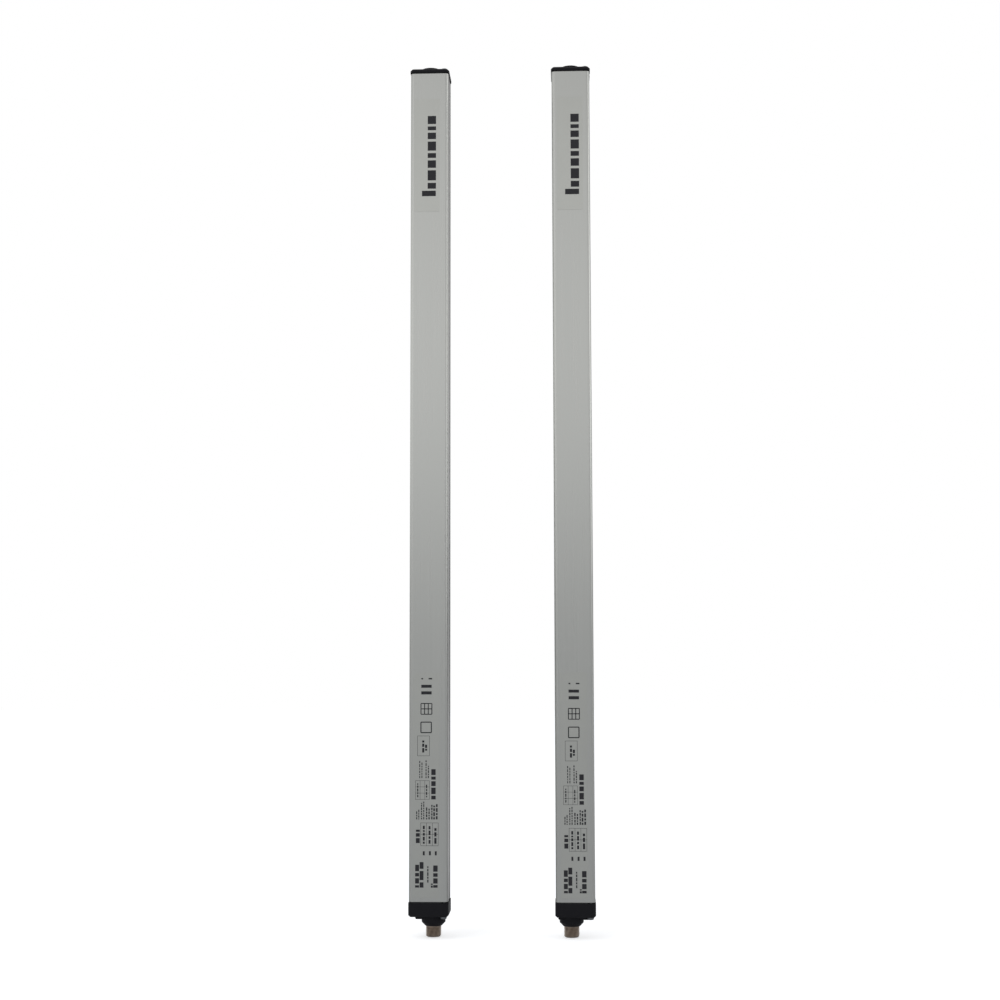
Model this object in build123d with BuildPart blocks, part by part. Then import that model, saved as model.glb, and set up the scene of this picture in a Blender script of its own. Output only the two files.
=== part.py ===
from build123d import *
import os

# A measuring light curtain: an emitter bar and a receiver bar in the same slim housing.
# Each bar is drawn with the lower end of its housing at height 0, its optical side
# towards +X and its width along Y, and is then set in its place in the pair.
# The pair's origin is the centre of the measuring field, and the beams run along X.

# Beams, in millimetres as everything here
beam_pitch = 40.0
beam_count = 16
end_zone = 24.0  # from an outer beam to the end of the housing
bar_spacing = 112.0  # between the centre lines of the two bars

# Housing profile, extruded
profile_depth = 30.0  # along the beams
profile_width = 28.0  # across the beams
profile_corner = 2.5
side_wall = 1.8
web_thickness = 1.6  # between the back slot and the cavity

# Back slot that takes slot nuts
slot_lip = 1.6
slot_mouth_width = 6.2
slot_channel_width = 11.0
slot_channel_depth = 4.4
slot_gap = 0.2  # the end caps clear the slot by this much

# Front opening, with its lips before the window and its ledges behind
front_land = 7.2  # from the side face to the opening
window_lip = 1.5
ledge_thickness = 1.5

# Screw ports in two opposite corners, slit open to the cavity
port_radius = 1.3
port_from_end = 3.6  # from the back or optical face to the port's centre
port_from_side = 3.5
port_slit = 0.9

# Ribs that guide the circuit board
rib_reach = 1.0
rib_thickness = 1.2

# Clearances
slide_gap = 0.2  # between parts that slide into the housing
board_gap = 0.15  # between the board and its guides
turned_gap = 0.05  # between turned or moulded parts that fit closely
screw_gap = 0.2  # round a screw that passes through

# Window and its two seals
window_base_thickness = 2.5
window_grip = 1.3  # how far its edges reach behind the lips
window_crown_height = 1.2
window_crown_round = 0.5
seal_thickness = 0.5

# Optics, counted back from the window
lens_window_gap = 0.6
lens_rise = 0.8
lens_base_thickness = 1.6
carrier_height = 8.0
carrier_wall = 2.2  # from a side of the carrier to a lens
carrier_gap = 0.4  # between the optics and the sides of the front opening
carrier_end = 8.0  # from an outer beam to the end of the carrier
tunnel_rim = 0.2  # between a lens's edge and its tunnel

# Circuit board and what it carries
board_thickness = 1.6
board_end_gap = 0.3
tongue_width = 17.0
infrared_diode_length = 3.4
infrared_diode_width = 2.8
infrared_diode_height = 1.9
photodiode_length = 4.4
photodiode_width = 3.9
photodiode_height = 1.1
chip_length = 6.0
chip_width = 5.0
chip_height = 1.4
chip_beams = 4  # one driver chip for this many beams
processor_side = 9.0
processor_height = 1.2
lamp_length = 1.6
lamp_width = 2.4
lamp_height = 1.1
lamp_edge = 0.7  # from a side of the lens strip to the first lamp
lamp_count = 3
guide_gap = 0.3  # between a lamp and its light guide

# End caps, their spigots and gaskets
cap_overhang = 0.5
cap_edge = 1.3  # chamfer round the outer face
top_cap_thickness = 3.0
bottom_cap_thickness = 10.5
boss_radius = 8.0
boss_height = 3.0
gasket_thickness = 1.0
gasket_inset = 0.3
spigot_reach = 5.0
spigot_wall = 1.5

# Cap screws, whose lobed thread is drawn as a plain six-sided shank
screw_grip = 8.0  # how far a screw goes into the housing
head_radius = 2.5
head_height = 1.9

# Neck of the lower cap, round the connector, and the low foot that it rises from
neck_radius = 9.2
neck_length = 8.0
neck_taper = 2.7
neck_tip_wall = 0.6
foot_height = 2.6
foot_width = 15.4
foot_front = 10.2  # from the connector's axis towards the optical side
foot_back = 13.5  # from the connector's axis towards the back
foot_edge = 0.8

# Connector, with a 12 mm thread and a six-sided barrel that can't turn in the cap
thread_radius = 6.0
thread_length = 8.3
thread_chamfer = 1.0
thread_wall = 1.55  # from the thread to the bore
barrel_wall = 0.55  # from a flat of the barrel to the bore
connector_from_front = 12.0  # from the optical face to the connector's axis
pocket_base = 1.5  # the lower cap's wall between its pocket and its outer face
socket_well = 7.0  # from the connector's rim down to the insert
key_width = 1.2
key_height = 0.5
key_length = 5.0
key_angle = 45.0
pin_radius = 0.5
pin_circle = 3.5
pin_count = 4
pin_recess = 1.0  # from the connector's rim to the pins' tips
contact_board_side = 8.0
contact_board_thickness = 1.2

# Link between the contact board and the circuit board
link_thickness = 2.2
link_width = 8.0
link_standoff = 3.8
link_overlap = 2.0

# Places worked out from the sizes above
profile_length = (beam_count - 1) * beam_pitch + 2 * end_zone
middle_height = profile_length / 2
beam_heights = [end_zone + beam * beam_pitch for beam in range(beam_count)]
cavity_back = -profile_depth / 2 + slot_lip + slot_channel_depth + web_thickness
window_back = profile_depth / 2 - window_lip - window_base_thickness
cavity_front = window_back - seal_thickness - ledge_thickness
cavity_width = profile_width - 2 * side_wall
window_opening = profile_width - 2 * front_land
window_width = window_opening + 2 * window_grip
port_x = profile_depth / 2 - port_from_end
port_y = profile_width / 2 - port_from_side
port_places = [(port_x, -port_y), (-port_x, port_y)]

carrier_width = window_opening - 2 * carrier_gap
lens_size = carrier_width - 2 * carrier_wall
lens_face = window_back - lens_window_gap - lens_rise
carrier_front = lens_face - lens_base_thickness
board_front = carrier_front - carrier_height
board_back = board_front - board_thickness
carrier_length = (beam_count - 1) * beam_pitch + 2 * carrier_end
carrier_foot = middle_height - carrier_length / 2
lamp_place = (spigot_reach + carrier_foot) / 2
lamp_spacing = (carrier_width - 2 * lamp_edge - lamp_width) / (lamp_count - 1)

spigot_back = cavity_back + slide_gap
spigot_front = cavity_front - slide_gap
spigot_width = cavity_width - 2 * rib_reach - 2 * slide_gap

cap_top_seat = profile_length + gasket_thickness
cap_top_face = cap_top_seat + top_cap_thickness
cap_base = -gasket_thickness - bottom_cap_thickness
connector_offset = profile_depth / 2 - connector_from_front
connector_bore = thread_radius - thread_wall
barrel_flat = connector_bore + barrel_wall
neck_end = cap_base - neck_length
connector_tip = neck_end - thread_length
insert_floor = connector_tip + socket_well
pocket_floor = cap_base + pocket_base
contact_top = pocket_floor + contact_board_thickness
tongue_end = contact_top + link_standoff

shank_radius = port_radius - turned_gap
screw_hole = port_radius + screw_gap

connector_axis = Axis((connector_offset, 0, 0), (0, 0, 1))
connector_section = Plane((connector_offset, 0, 0), x_dir=(1, 0, 0), z_dir=(0, -1, 0))
from_back = (Align.MIN, Align.CENTER)


def beam_plane(x):
    """The upright plane at x whose origin is level with the middle of the beams."""
    return Plane((x, 0, middle_height), x_dir=(0, 1, 0), z_dir=(1, 0, 0))


def connector_plane(height):
    """The level plane at a height whose origin is on the connector's axis."""
    return Plane((connector_offset, 0, height))


def draw_strip(start, end, width, mode=Mode.ADD):
    """Draws a rectangle of the given width from start to end along the bar's depth."""
    with Locations((start, 0)):
        Rectangle(end - start, width, align=from_back, mode=mode)


def draw_back_slot(gap, mode=Mode.ADD):
    """Draws the T-shaped back slot, wider than in the housing by a gap all round."""
    channel = -profile_depth / 2 + slot_lip
    outside = -profile_depth / 2 - cap_overhang - slot_gap
    draw_strip(outside, channel, slot_mouth_width + 2 * gap, mode)
    channel_end = channel + slot_channel_depth + gap
    draw_strip(channel - gap, channel_end, slot_channel_width + 2 * gap, mode)


def draw_spigot(wall_in, mode=Mode.ADD):
    """Draws the spigot's rectangle, smaller by wall_in on every side."""
    width = spigot_width - 2 * wall_in
    draw_strip(spigot_back + wall_in, spigot_front - wall_in, width, mode)


def draw_cap_outline():
    """Draws the outline that both end caps share, a little larger than the housing's."""
    depth = profile_depth + 2 * cap_overhang
    width = profile_width + 2 * cap_overhang
    RectangleRounded(depth, width, profile_corner + cap_overhang)


def draw_screw_ports():
    """Draws the two screw ports and the slits that open them to the cavity."""
    with Locations(port_places):
        Circle(port_radius, mode=Mode.SUBTRACT)
    with Locations((cavity_front, -port_y)):
        Rectangle(port_x - cavity_front, port_slit, align=from_back, mode=Mode.SUBTRACT)
    with Locations((-port_x, port_y)):
        Rectangle(port_x + cavity_back, port_slit, align=from_back, mode=Mode.SUBTRACT)


def draw_board_ribs():
    """Draws the four ribs that make a guide groove on each side of the cavity."""
    rib_width = rib_reach + side_wall / 2
    rib_y = cavity_width / 2 - rib_reach + rib_width / 2
    front_rib = board_front + board_gap + rib_thickness / 2
    back_rib = board_back - board_gap - rib_thickness / 2
    with Locations((front_rib, rib_y), (front_rib, -rib_y), (back_rib, rib_y), (back_rib, -rib_y)):
        Rectangle(rib_thickness, rib_width)


def make_profile():
    with BuildPart() as profile:
        with BuildSketch():
            RectangleRounded(profile_depth, profile_width, profile_corner)
            draw_strip(cavity_back, cavity_front, cavity_width, Mode.SUBTRACT)
            draw_strip(cavity_back, profile_depth / 2, window_opening, Mode.SUBTRACT)
            groove_back = window_back - seal_thickness
            groove_front = window_back + window_base_thickness
            groove_width = window_width + 2 * slide_gap
            draw_strip(groove_back, groove_front, groove_width, Mode.SUBTRACT)
            draw_back_slot(0, Mode.SUBTRACT)
            draw_screw_ports()
            draw_board_ribs()
        extrude(amount=profile_length)
    return profile.part


def make_window():
    crown_back = window_back + window_base_thickness
    crown_width = window_opening - 2 * slide_gap
    with BuildPart() as window:
        with BuildSketch():
            draw_strip(window_back, crown_back, window_width)
            draw_strip(crown_back, crown_back + window_crown_height, crown_width)
        extrude(amount=profile_length)
        crown_edges = window.edges().filter_by(Axis.Z).group_by(Axis.X)[-1]
        fillet(crown_edges, window_crown_round)
    return window.part


def make_window_seals():
    with BuildPart() as seals:
        with BuildSketch():
            draw_strip(window_back - seal_thickness, window_back, window_width)
            draw_strip(window_back - seal_thickness, window_back, window_opening, Mode.SUBTRACT)
        extrude(amount=profile_length)
    return seals.part


def make_cap_gaskets():
    """The flat gaskets of both ends, cut away round the screws at two corners."""
    depth = profile_depth - 2 * gasket_inset
    width = profile_width - 2 * gasket_inset
    with BuildPart() as gaskets:
        with BuildSketch(Plane.XY.offset(-gasket_thickness), Plane.XY.offset(profile_length)) as flat:
            Rectangle(depth, width)
            chamfer(flat.vertices(), profile_corner - gasket_inset)
            draw_spigot(-slide_gap, Mode.SUBTRACT)
            draw_back_slot(slot_gap, Mode.SUBTRACT)
            corner = (Align.MIN, Align.MAX)
            with Locations((port_x - screw_hole, -port_y + screw_hole)):
                Rectangle(profile_depth, profile_width, align=corner, mode=Mode.SUBTRACT)
            corner = (Align.MAX, Align.MIN)
            with Locations((-port_x + screw_hole, port_y - screw_hole)):
                Rectangle(profile_depth, profile_width, align=corner, mode=Mode.SUBTRACT)
        extrude(amount=gasket_thickness)
    return gaskets.part


def make_top_cap():
    with BuildPart() as cap:
        with BuildSketch(Plane.XY.offset(cap_top_seat)):
            draw_cap_outline()
        extrude(amount=top_cap_thickness)
        chamfer(cap.faces().sort_by(Axis.Z)[-1].edges(), cap_edge)
        with BuildSketch(Plane.XY.offset(cap_top_face)):
            Circle(boss_radius)
        extrude(amount=boss_height)
        with BuildSketch(Plane.XY.offset(cap_top_seat)):
            draw_spigot(0)
            draw_spigot(spigot_wall, Mode.SUBTRACT)
        extrude(amount=-gasket_thickness - spigot_reach)
        with BuildSketch(Plane.XY.offset(cap_top_seat)):
            draw_back_slot(slot_gap)
            with Locations(port_places):
                Circle(screw_hole)
        extrude(amount=top_cap_thickness + boss_height, mode=Mode.SUBTRACT)
    return cap.part


def make_bottom_cap():
    neck_tip_radius = thread_radius + neck_tip_wall
    foot_depth = foot_front + foot_back
    with BuildPart() as cap:
        with BuildSketch(Plane.XY.offset(cap_base)):
            draw_cap_outline()
        extrude(amount=bottom_cap_thickness)
        chamfer(cap.faces().sort_by(Axis.Z)[0].edges(), cap_edge)
        with BuildSketch(connector_plane(cap_base)):
            with Locations((-foot_back, 0)):
                Rectangle(foot_depth, foot_width, align=from_back)
        extrude(amount=-foot_height)
        chamfer(cap.faces().sort_by(Axis.Z)[0].edges(), foot_edge)
        with BuildSketch(connector_section):
            with BuildLine():
                Polyline(
                    (0, pocket_floor),
                    (neck_radius, pocket_floor),
                    (neck_radius, neck_end + neck_taper),
                    (neck_tip_radius, neck_end),
                    (0, neck_end),
                    close=True,
                )
            make_face()
        revolve(axis=connector_axis)
        with BuildSketch(Plane.XY.offset(-gasket_thickness)):
            draw_spigot(0)
        extrude(amount=gasket_thickness + spigot_reach)
        with BuildSketch(Plane.XY.offset(pocket_floor)):
            draw_spigot(spigot_wall)
        extrude(amount=spigot_reach - pocket_floor, mode=Mode.SUBTRACT)
        with BuildSketch(connector_plane(neck_end)):
            RegularPolygon(barrel_flat + turned_gap, 6, major_radius=False)
        extrude(amount=pocket_floor - neck_end, mode=Mode.SUBTRACT)
        with BuildSketch(Plane.XY.offset(-gasket_thickness)):
            draw_back_slot(slot_gap)
            with Locations(port_places):
                Circle(screw_hole)
        extrude(amount=-bottom_cap_thickness - foot_height, mode=Mode.SUBTRACT)
    return cap.part


def make_cap_screws():
    """Two short screws through the upper cap and two long ones through the lower."""
    with BuildPart() as screws:
        with BuildSketch(Plane.XY.offset(cap_top_face), Plane.XY.offset(cap_base - head_height)):
            with Locations(port_places):
                Circle(head_radius)
        extrude(amount=head_height)
        with BuildSketch(Plane.XY.offset(cap_top_face)):
            with Locations(port_places):
                RegularPolygon(shank_radius, 6)
        extrude(amount=profile_length - screw_grip - cap_top_face)
        with BuildSketch(Plane.XY.offset(cap_base)):
            with Locations(port_places):
                RegularPolygon(shank_radius, 6)
        extrude(amount=screw_grip - cap_base)
    return screws.part


def make_connector_shell():
    with BuildPart() as shell:
        with BuildSketch(connector_section):
            with BuildLine():
                Polyline(
                    (0, connector_tip),
                    (thread_radius - thread_chamfer, connector_tip),
                    (thread_radius, connector_tip + thread_chamfer),
                    (thread_radius, neck_end),
                    (0, neck_end),
                    close=True,
                )
            make_face()
        revolve(axis=connector_axis)
        with BuildSketch(connector_plane(neck_end)):
            RegularPolygon(barrel_flat, 6, major_radius=False)
        extrude(amount=pocket_floor - neck_end)
        with BuildSketch(connector_plane(connector_tip)):
            Circle(connector_bore)
        extrude(amount=pocket_floor - connector_tip, mode=Mode.SUBTRACT)
    return shell.part


def make_connector_insert():
    insert_radius = connector_bore - turned_gap
    with BuildPart() as insert:
        with BuildSketch(connector_plane(insert_floor)):
            Circle(insert_radius)
        extrude(amount=pocket_floor - insert_floor)
        with BuildSketch(connector_plane(insert_floor)):
            key_place = insert_radius - turned_gap - key_height / 2
            with PolarLocations(key_place, 1, start_angle=key_angle):
                Rectangle(key_height, key_width)
        extrude(amount=-key_length)
    return insert.part


def make_connector_pins():
    """The pins, drawn eight-sided, from the insert's face to just inside the rim."""
    with BuildPart() as pins:
        with BuildSketch(connector_plane(connector_tip + pin_recess)):
            with PolarLocations(pin_circle, pin_count):
                RegularPolygon(pin_radius, 8)
        extrude(amount=socket_well - pin_recess)
    return pins.part


def make_contact_board():
    with BuildPart() as board:
        with BuildSketch(connector_plane(pocket_floor)):
            Rectangle(contact_board_side, contact_board_side)
        extrude(amount=contact_board_thickness)
    return board.part


def make_board_link():
    with BuildPart() as link:
        with BuildSketch(Plane.XY.offset(contact_top)):
            draw_strip(board_front, board_front + link_thickness, link_width)
        extrude(amount=link_standoff + link_overlap)
    return link.part


def make_circuit_board():
    board_foot = spigot_reach + board_end_gap
    with BuildPart() as board:
        with BuildSketch(Plane.XY.offset(board_foot)):
            draw_strip(board_back, board_front, cavity_width - 2 * board_gap)
        extrude(amount=profile_length - 2 * board_foot)
        with BuildSketch(Plane.XY.offset(tongue_end)):
            draw_strip(board_back, board_front, tongue_width)
        extrude(amount=board_foot - tongue_end)
    return board.part


def make_optics_carrier():
    tunnel = lens_size - 2 * tunnel_rim
    with BuildPart() as carrier:
        with BuildSketch(beam_plane(board_front)):
            Rectangle(carrier_width, carrier_length)
            with GridLocations(0, beam_pitch, 1, beam_count):
                Rectangle(tunnel, tunnel, mode=Mode.SUBTRACT)
        extrude(amount=carrier_height)
    return carrier.part


def make_lens():
    """One lens: the part of a ball that stands on a square of the lens's size."""
    half_diagonal_squared = lens_size**2 / 2
    ball_radius = (half_diagonal_squared + lens_rise**2) / (2 * lens_rise)
    with BuildPart() as lens:
        with Locations((lens_rise - ball_radius, 0, 0)):
            Sphere(ball_radius)
        square = (Align.MIN, Align.CENTER, Align.CENTER)
        Box(lens_rise, lens_size, lens_size, align=square, mode=Mode.INTERSECT)
    return lens.part


def make_lens_strip():
    """The lens strip, with light guides for the status lamps at its lower end."""
    guide_base = board_front + lamp_height + guide_gap
    strip_foot = lamp_place - lamp_width
    strip_top = middle_height + carrier_length / 2
    lens = make_lens()
    with BuildPart() as strip:
        with BuildSketch(Plane.XY.offset(strip_foot)):
            draw_strip(carrier_front, lens_face, carrier_width)
        extrude(amount=strip_top - strip_foot)
        with BuildSketch(Plane.YZ.offset(guide_base)):
            with Locations((0, lamp_place)):
                with GridLocations(lamp_spacing, 0, lamp_count, 1):
                    Rectangle(lamp_width, lamp_width)
        extrude(amount=carrier_front - guide_base)
        with Locations([(lens_face, 0, height) for height in beam_heights]):
            add(lens)
    return strip.part


def make_beam_diodes(width, length, height):
    """One diode for each beam, on the front of the circuit board."""
    with BuildPart() as diodes:
        with BuildSketch(beam_plane(board_front)):
            with GridLocations(0, beam_pitch, 1, beam_count):
                Rectangle(width, length)
        extrude(amount=height)
    return diodes.part


def make_driver_chips():
    chip_pitch = chip_beams * beam_pitch
    chip_count = beam_count // chip_beams
    lowest_chip = middle_height - (chip_count - 1) * chip_pitch / 2
    with BuildPart() as chips:
        with BuildSketch(beam_plane(board_back)):
            with GridLocations(0, chip_pitch, 1, chip_count):
                Rectangle(chip_width, chip_length)
        extrude(amount=-chip_height)
        with BuildSketch(Plane.YZ.offset(board_back)):
            with Locations((0, (spigot_reach + lowest_chip) / 2)):
                Rectangle(processor_side, processor_side)
        extrude(amount=-processor_height)
    return chips.part


def make_status_lamps():
    with BuildPart() as lamps:
        with BuildSketch(Plane.YZ.offset(board_front)):
            with Locations((0, lamp_place)):
                with GridLocations(lamp_spacing, 0, lamp_count, 1):
                    Rectangle(lamp_width, lamp_length)
        extrude(amount=lamp_height)
    return lamps.part


def write_piece(part, place, name):
    """Sets a piece in its place in the pair and writes it under its own name."""
    piece = part.moved(place)
    piece.label = name
    export_step(piece, f"parts/{name}.step")


emitter_place = Location((-bar_spacing / 2, 0, -middle_height))
receiver_place = Location((bar_spacing / 2, 0, -middle_height), (0, 0, 180))

shared_pieces = {
    "profile": make_profile(),
    "window": make_window(),
    "window_seals": make_window_seals(),
    "cap_gaskets": make_cap_gaskets(),
    "top_cap": make_top_cap(),
    "bottom_cap": make_bottom_cap(),
    "cap_screws": make_cap_screws(),
    "connector_shell": make_connector_shell(),
    "connector_insert": make_connector_insert(),
    "connector_pins": make_connector_pins(),
    "contact_board": make_contact_board(),
    "board_link": make_board_link(),
    "circuit_board": make_circuit_board(),
    "optics_carrier": make_optics_carrier(),
    "lens_strip": make_lens_strip(),
    "driver_chips": make_driver_chips(),
    "status_lamps": make_status_lamps(),
}
infrared_diodes = make_beam_diodes(
    infrared_diode_width, infrared_diode_length, infrared_diode_height
)
photodiodes = make_beam_diodes(photodiode_width, photodiode_length, photodiode_height)

os.makedirs("parts", exist_ok=True)
for name, part in shared_pieces.items():
    write_piece(part, emitter_place, f"emitter_{name}")
    write_piece(part, receiver_place, f"receiver_{name}")
write_piece(infrared_diodes, emitter_place, "emitter_infrared_diodes")
write_piece(photodiodes, receiver_place, "receiver_photodiodes")
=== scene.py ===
"""The looks of a measuring light curtain: an emitter bar and a receiver bar, standing as a pair.

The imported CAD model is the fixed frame. This file gives its nodes their finishes, and adds the pieces whose
detail is finer than the CAD keeps: the silver films with their print, the threads, the pins and the screws.
"""

import math

import bmesh
import bpy
import numpy as np
from mathutils import Matrix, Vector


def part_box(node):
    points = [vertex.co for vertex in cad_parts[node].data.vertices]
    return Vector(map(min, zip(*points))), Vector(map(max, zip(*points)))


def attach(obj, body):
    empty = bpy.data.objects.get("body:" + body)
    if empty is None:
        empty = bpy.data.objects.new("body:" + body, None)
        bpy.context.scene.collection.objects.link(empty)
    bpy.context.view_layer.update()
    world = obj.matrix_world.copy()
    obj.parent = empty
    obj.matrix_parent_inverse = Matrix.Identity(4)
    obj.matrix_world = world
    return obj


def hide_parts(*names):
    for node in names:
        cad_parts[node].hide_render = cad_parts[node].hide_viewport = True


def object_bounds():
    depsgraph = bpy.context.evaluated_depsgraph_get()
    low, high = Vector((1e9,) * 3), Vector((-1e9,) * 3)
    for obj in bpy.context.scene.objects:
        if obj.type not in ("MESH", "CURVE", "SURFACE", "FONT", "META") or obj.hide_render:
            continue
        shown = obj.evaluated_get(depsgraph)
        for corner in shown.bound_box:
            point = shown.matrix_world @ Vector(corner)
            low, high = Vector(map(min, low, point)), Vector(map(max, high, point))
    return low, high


bl_info = {
    "name": "Measuring light curtain",
    "version": (1, 0, 0),
    "blender": (4, 5, 0),
    "location": "3D View > Sidebar > Light curtain",
    "description": "Finishes, films, threads and stage for a pair of light curtain bars",
    "category": "Object",
}

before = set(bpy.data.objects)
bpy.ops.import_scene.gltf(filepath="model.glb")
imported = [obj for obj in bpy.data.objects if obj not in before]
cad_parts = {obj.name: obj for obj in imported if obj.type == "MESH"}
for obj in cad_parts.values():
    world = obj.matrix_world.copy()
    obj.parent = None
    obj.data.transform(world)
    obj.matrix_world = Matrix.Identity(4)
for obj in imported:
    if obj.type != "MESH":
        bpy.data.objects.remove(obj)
cad_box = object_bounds()

BARS = ("emitter", "receiver")
MM = 0.001
SHARP_EDGE = math.radians(38)

# Golden ratio less 1: its multiples spread evenly when only their fractions are kept
GOLDEN = 0.618
# Gap after a block of print, as a share of the usual word
WORD_GAP = 0.35

# Places and sizes of the two lamps, in metres
KEY_PLACE, KEY_SIZE = (-1.2, -0.9, 2.1), (1.6, 1.2)
FILL_PLACE, FILL_SIZE = (1.9, -0.5, 0.7), (1.2, 1.6)

# The studio's limits along x, y and z of a direction of length 1
LEFT_TO_RIGHT = (-0.35, 0.35)
FRONT_TO_SIDE = (-0.85, -0.35)
SIDE_TO_BACKGROUND = (0.6, 1.0)
EYE_LEVEL = (-0.01, 0.125)
OVERHEAD = (0.14, 0.42)
# Depths in metres between which the floor passes from the studio to the background
FLOOR_TO_BACKGROUND = (0.0, 0.5)


def linear(code):
    """The linear red, green and blue of an sRGB hex colour."""
    shares = np.array([int(code[i : i + 2], 16) for i in (1, 3, 5)]) / 255
    curved = ((shares + 0.055) / 1.055) ** 2.4
    return tuple(float(x) for x in np.where(shares <= 0.04045, shares / 12.92, curved))


def length(name, description, default):
    """A length that is given in millimetres and kept in metres."""
    return bpy.props.FloatProperty(
        name=name, description=description, default=default * MM, subtype="DISTANCE", unit="LENGTH"
    )


def colour(name, description, code):
    """A colour that is given as an sRGB hex value and kept linear."""
    return bpy.props.FloatVectorProperty(
        name=name, description=description, default=linear(code), subtype="COLOR", min=0, max=1
    )


def level(name, description, default):
    """A plain number of 0 or more."""
    return bpy.props.FloatProperty(name=name, description=description, default=default, min=0)


def angle(name, description, default):
    """An angle that is given in degrees and kept in radians."""
    return bpy.props.FloatProperty(
        name=name, description=description, default=math.radians(default), subtype="ANGLE"
    )


class FilmSizes(bpy.types.PropertyGroup):
    """Sizes of the two silver films on the broad side of each bar."""

    thickness: length("Thickness", "Thickness of a film", 0.12)
    corner: length("Corner", "Radius of a film's corners", 1.2)
    ink: length("Ink", "Thickness of the print", 0.02)
    lower_width: length("Lower width", "Width of the lower film", 20.6)
    lower_start: length("Lower start", "From the housing's lower end to the lower film", 2.9)
    lower_height: length("Lower height", "Height of the lower film", 170.5)
    upper_width: length("Upper width", "Width of the upper film", 20.4)
    upper_start: length("Upper start", "From the upper film to the housing's upper end", 20.7)
    upper_height: length("Upper height", "Height of the upper film", 91.5)
    emitter_shift: length("Emitter shift", "From the bar's middle to the films on the emitter", -1.9)
    receiver_shift: length("Receiver shift", "From the bar's middle to the films on the receiver", -0.7)
    receiver_drop: length("Receiver drop", "How much lower the receiver's lower film is printed", 3.8)


class MetalSizes(bpy.types.PropertyGroup):
    """Sizes of the threads, the pins and the screws."""

    thread_pitch: length("Thread pitch", "Pitch of the connector's thread", 1.0)
    thread_depth: length("Thread depth", "Depth of the connector's thread", 0.5)
    thread_chamfer: length("Thread chamfer", "Chamfer at the connector's rim", 0.8)
    barrel_radius: length("Barrel radius", "Radius of the connector's part inside the cap", 4.98)
    shell_gap: length("Shell gap", "From the connector's bore to its insert", 0.05)
    pin_radius: length("Pin radius", "Radius of a contact pin", 0.5)
    head_radius: length("Head radius", "Radius of a screw's head", 2.5)
    head_height: length("Head height", "Height of the head of a lower screw", 1.9)
    upper_head: length("Upper head", "Height of the head of an upper screw", 0.7)
    shank_radius: length("Shank radius", "Radius over a screw's thread", 1.25)
    shank_depth: length("Shank depth", "Depth of a screw's thread", 0.25)
    shank_pitch: length("Shank pitch", "Pitch of a screw's thread", 1.1)
    screw_grip: length("Screw grip", "How far a screw goes into the housing", 8.0)
    recess_depth: length("Recess depth", "Depth of the cross recess", 1.2)
    recess_reach: length("Recess reach", "Reach of the cross recess from the middle", 1.5)
    recess_arm: length("Recess arm", "Half of the width of an arm of the cross recess", 0.36)


class FinishColours(bpy.types.PropertyGroup):
    """Colours of the finishes, as they are under white light."""

    aluminium: colour("Aluminium", "Natural anodised aluminium", "#ACADAA")
    film: colour("Film", "Silver polyester film", "#ABACA8")
    ink: colour("Ink", "Printing ink", "#232327")
    cap: colour("Cap", "Black moulded polyamide", "#131317")
    window: colour("Window", "Infrared-pass acrylic", "#1C0709")
    rubber: colour("Rubber", "Black nitrile rubber", "#1E1E1F")
    steel: colour("Steel", "Zinc plated steel", "#6A6C6F")
    nickel: colour("Nickel", "Nickel plated brass", "#9C9085")
    gold: colour("Gold", "Gold plating", "#E5BE72")
    insert: colour("Insert", "Black moulded polyamide of the contact carrier", "#151517")
    solder_mask: colour("Solder mask", "Green solder mask", "#1B5B37")
    copper_trace: colour("Trace", "Solder mask over a copper trace", "#2C7A4A")
    carrier: colour("Carrier", "Dull black moulded polycarbonate", "#101011")
    lens: colour("Lens", "Clear acrylic", "#F0F3F5")
    chip: colour("Chip", "Black moulded epoxy", "#1A1A1B")
    lamp: colour("Lamp", "Milky epoxy", "#D4D9C8")
    diode: colour("Diode", "Dark clear epoxy", "#2A2030")


class StudioSettings(bpy.types.PropertyGroup):
    """The camera, the lamps and the white surroundings."""

    eye_x: length("Eye x", "The camera's place along the beams", 49.28)
    eye_y: length("Eye y", "The camera's place in front of the pair", -1235.85)
    eye_z: length("Eye z", "The camera's height from the middle of the field", -126.59)
    yaw: angle("Yaw", "Turn of the view towards the emitter", 2.34)
    pitch: angle("Pitch", "Rise of the view", 5.1)
    roll: angle("Roll", "Roll of the view", -0.13)
    lens: bpy.props.FloatProperty(
        name="Lens", description="Focal length on a 36 mm frame, in millimetres", default=56.94
    )
    floor_gap: length("Floor gap", "From the floor up to the connectors", 0.6)
    floor_size: length("Floor size", "Side of the floor", 8000.0)
    paper: colour("Paper", "Paper of the floor", "#D0D2D5")
    paper_glow: level("Paper glow", "Light that lifts the floor to the background's white", 0.57)
    mirrored_share: level("Mirrored share", "How much of the white background is mirrored", 0.6)
    low_light: colour("Low light", "Tone of the studio's light below eye level", "#F9FCFF")
    front_level: level("Front level", "Brightness of the studio behind the camera", 0.34)
    side_level: level("Side level", "Brightness of the studio on the other sides", 0.3)
    left_gain: level("Left gain", "Brightness of the studio's left against its middle", 1.14)
    right_gain: level("Right gain", "Brightness of the studio's right against its middle", 0.86)
    upper_gain: level("Upper gain", "Brightness above eye level against below it", 4.28)
    overhead_gain: level("Overhead gain", "Brightness high up against just above eye level", 0.52)
    key_power: level("Key power", "Power of the large lamp at the upper left, in watts", 12.0)
    fill_power: level("Fill power", "Power of the large lamp at the right, in watts", 6.5)


def half_extent(node):
    """Half of the size of a CAD node's box, and its centre, in metres."""
    low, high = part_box(node)
    return (np.array(high) - np.array(low)) / 2, (np.array(high) + np.array(low)) / 2


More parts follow.
